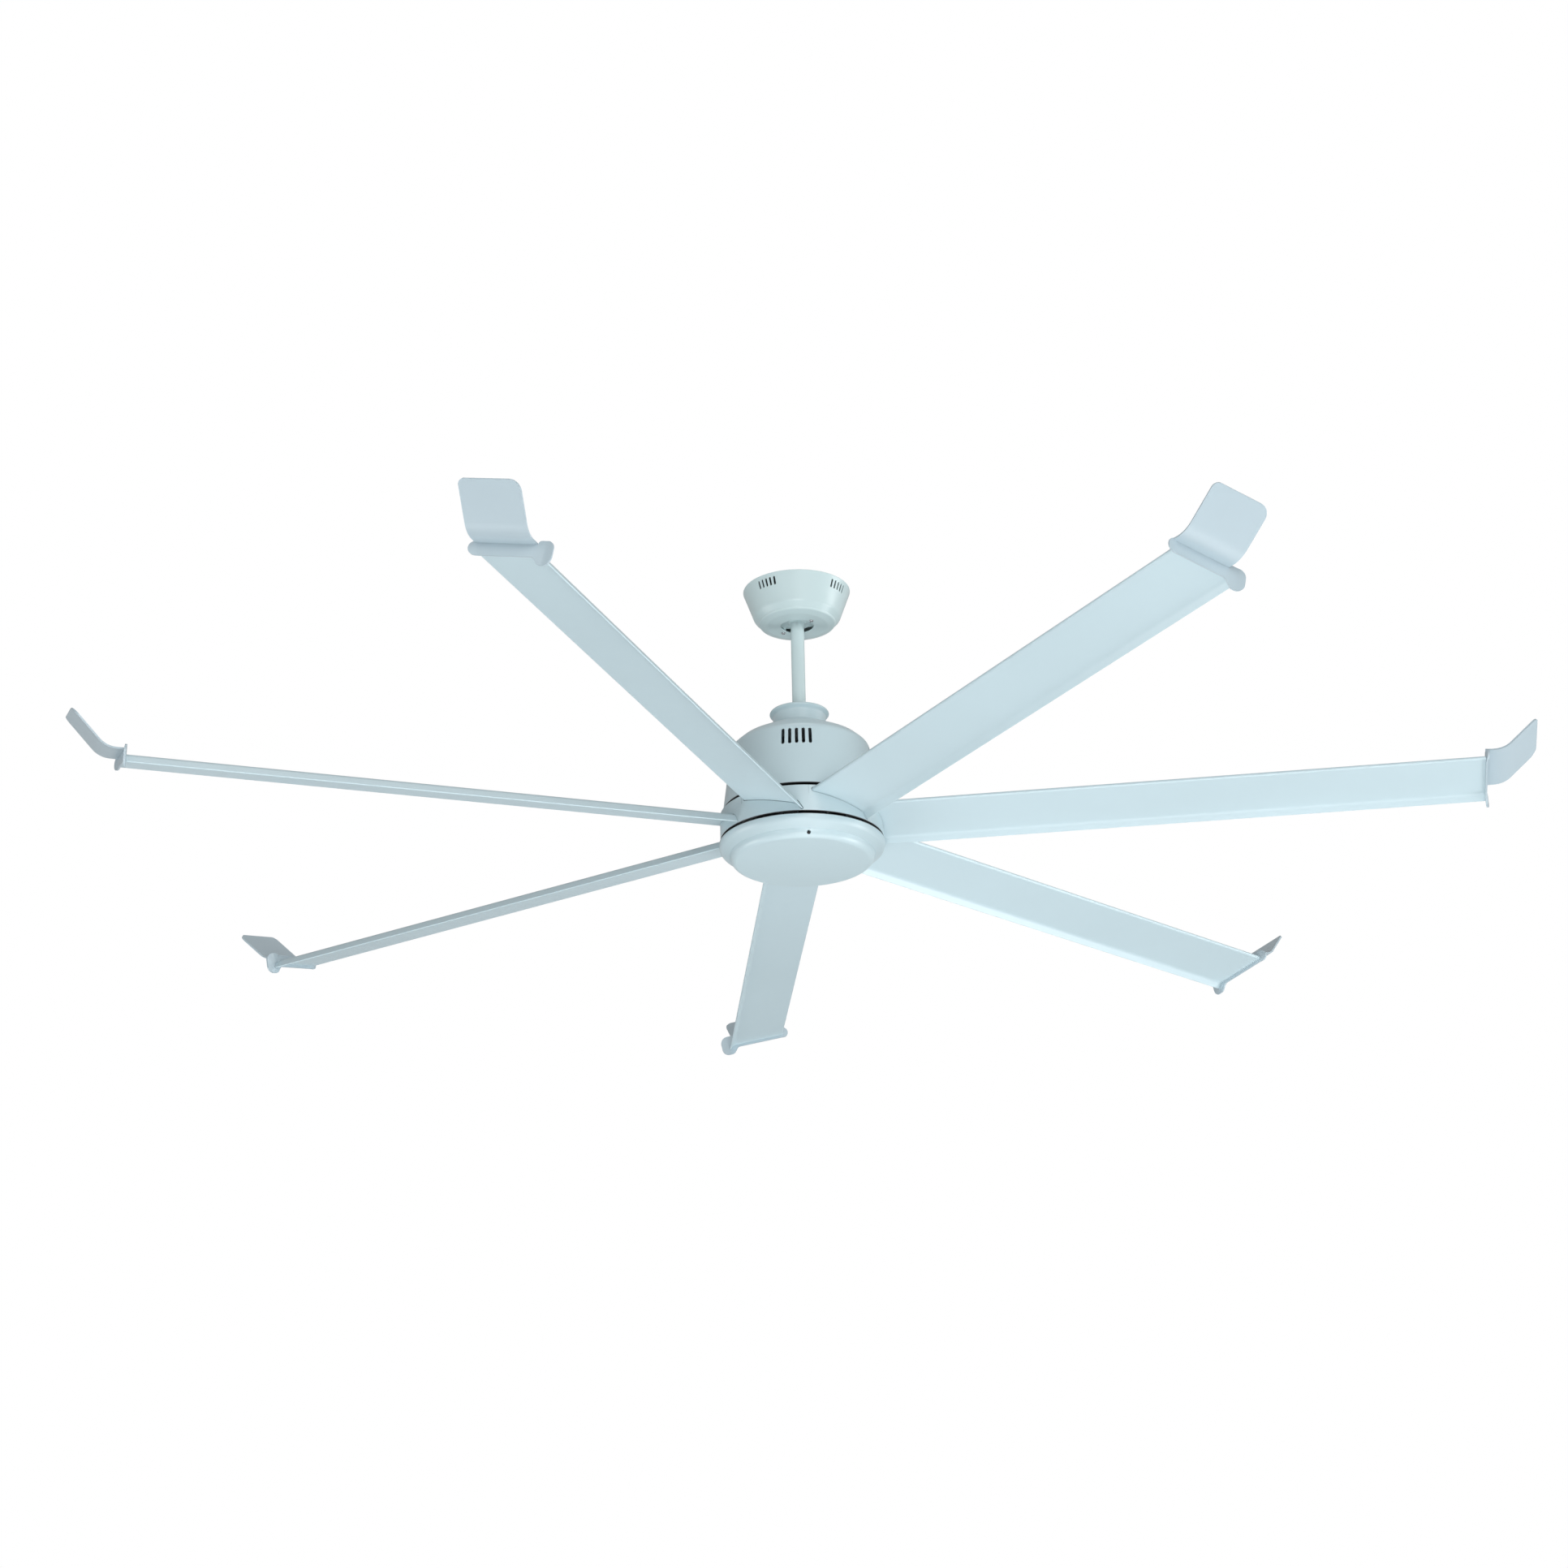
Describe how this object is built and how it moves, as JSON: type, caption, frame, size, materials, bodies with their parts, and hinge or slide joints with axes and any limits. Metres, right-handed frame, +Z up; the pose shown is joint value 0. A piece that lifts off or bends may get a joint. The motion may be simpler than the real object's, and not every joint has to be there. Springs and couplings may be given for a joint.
{
  "type": "outdoor ceiling fan",
  "caption": "Outdoor ceiling fan in pale blue-grey paint: long pitched blades with upturned winglet tips, a bell-shaped motor housing with vents, a short downrod and a tapered canopy.",
  "frame": {"origin": "centre of the ceiling bracket's top face, on the fan's axis, in the ceiling plane", "axes": "+Z up towards the ceiling along the fan's axis; the bracket's two ceiling holes lie along X; the fan hangs below z = 0"},
  "size_m": [2.3877, 2.3739, 0.5069],
  "materials": {
    "body_paint": "satin powder coat, pale blue grey",
    "blade_paint": "aluminium section with a satin pale blue grey powder coat",
    "tip_plastic": "satin moulded plastic, pale blue grey",
    "plated_steel": "zinc plated sheet",
    "cast_metal": "die cast, fine grain",
    "screw_steel": "zinc plated",
    "bearing_steel": "polished",
    "brass": "machined",
    "core_iron": "stacked sheet edges",
    "magnet": "ground",
    "copper": "enamelled copper wire",
    "board": "green solder mask",
    "dark_plastic": "fine grain",
    "white_plastic": "moulded",
    "cable_sheath": "matte",
    "seal_rubber": "matte grey"
  },
  "bodies": {
    "ceiling_mount": {"ceiling_bracket": "plated_steel", "canopy": "body_paint", "canopy_screws": "screw_steel", "receiver": "dark_plastic", "earth_screw": "brass"},
    "hanger": {"ball_pin": "screw_steel", "ball_set_screw": "screw_steel", "bearing_inner_races": "bearing_steel", "board_components": "dark_plastic", "bottom_cap": "body_paint", "bottom_cover": "body_paint", "cap_screws": "screw_steel", "cap_seal": "seal_rubber", "control_board": "board", "coupling_cover": "body_paint", "cover_screws": "screw_steel", "downrod": "body_paint", "hanger_ball": "cast_metal", "housing_screws": "screw_steel", "lead_connector": "white_plastic", "lower_plate": "plated_steel", "motor_housing": "body_paint", "motor_leads": "cable_sheath", "motor_shaft": "screw_steel", "rod_grommet": "seal_rubber", "shaft_nut": "screw_steel", "shaft_spacers": "screw_steel", "shaft_washer": "screw_steel", "stator_core": "core_iron", "stator_hub": "cast_metal", "stator_windings": "copper", "yoke": "cast_metal", "yoke_clip": "screw_steel", "yoke_pin": "screw_steel", "yoke_set_screws": "screw_steel"},
    "rotor": {"bearing_outer_races": "bearing_steel", "bearing_balls": "bearing_steel", "rotor_shell": "plated_steel", "rotor_magnets": "magnet", "rotor_screws": "screw_steel", "blade_carrier": "plated_steel", "blade_ring": "body_paint", "ring_screws": "screw_steel", "blade_clamps": "plated_steel", "blade_screws": "screw_steel", "tip_screws": "screw_steel", "blade_1": "blade_paint", "blade_2": "blade_paint", "blade_3": "blade_paint", "blade_4": "blade_paint", "blade_5": "blade_paint", "blade_6": "blade_paint", "blade_7": "blade_paint", "tip_winglet_1": "tip_plastic", "tip_winglet_2": "tip_plastic", "tip_winglet_3": "tip_plastic", "tip_winglet_4": "tip_plastic", "tip_winglet_5": "tip_plastic", "tip_winglet_6": "tip_plastic", "tip_winglet_7": "tip_plastic"}
  },
  "joints": [
    {"name": "hanger_swing", "type": "hinge", "parent": "ceiling_mount", "child": "hanger", "pos_m": [0, 0, -0.041], "axis": [1, 0, 0], "range_deg": [-12, 12]},
    {"name": "rotor_spin", "type": "hinge", "parent": "hanger", "child": "rotor", "pos_m": [0, 0, -0.4368], "axis": [0, 0, 1], "continuous": true}
  ]
}
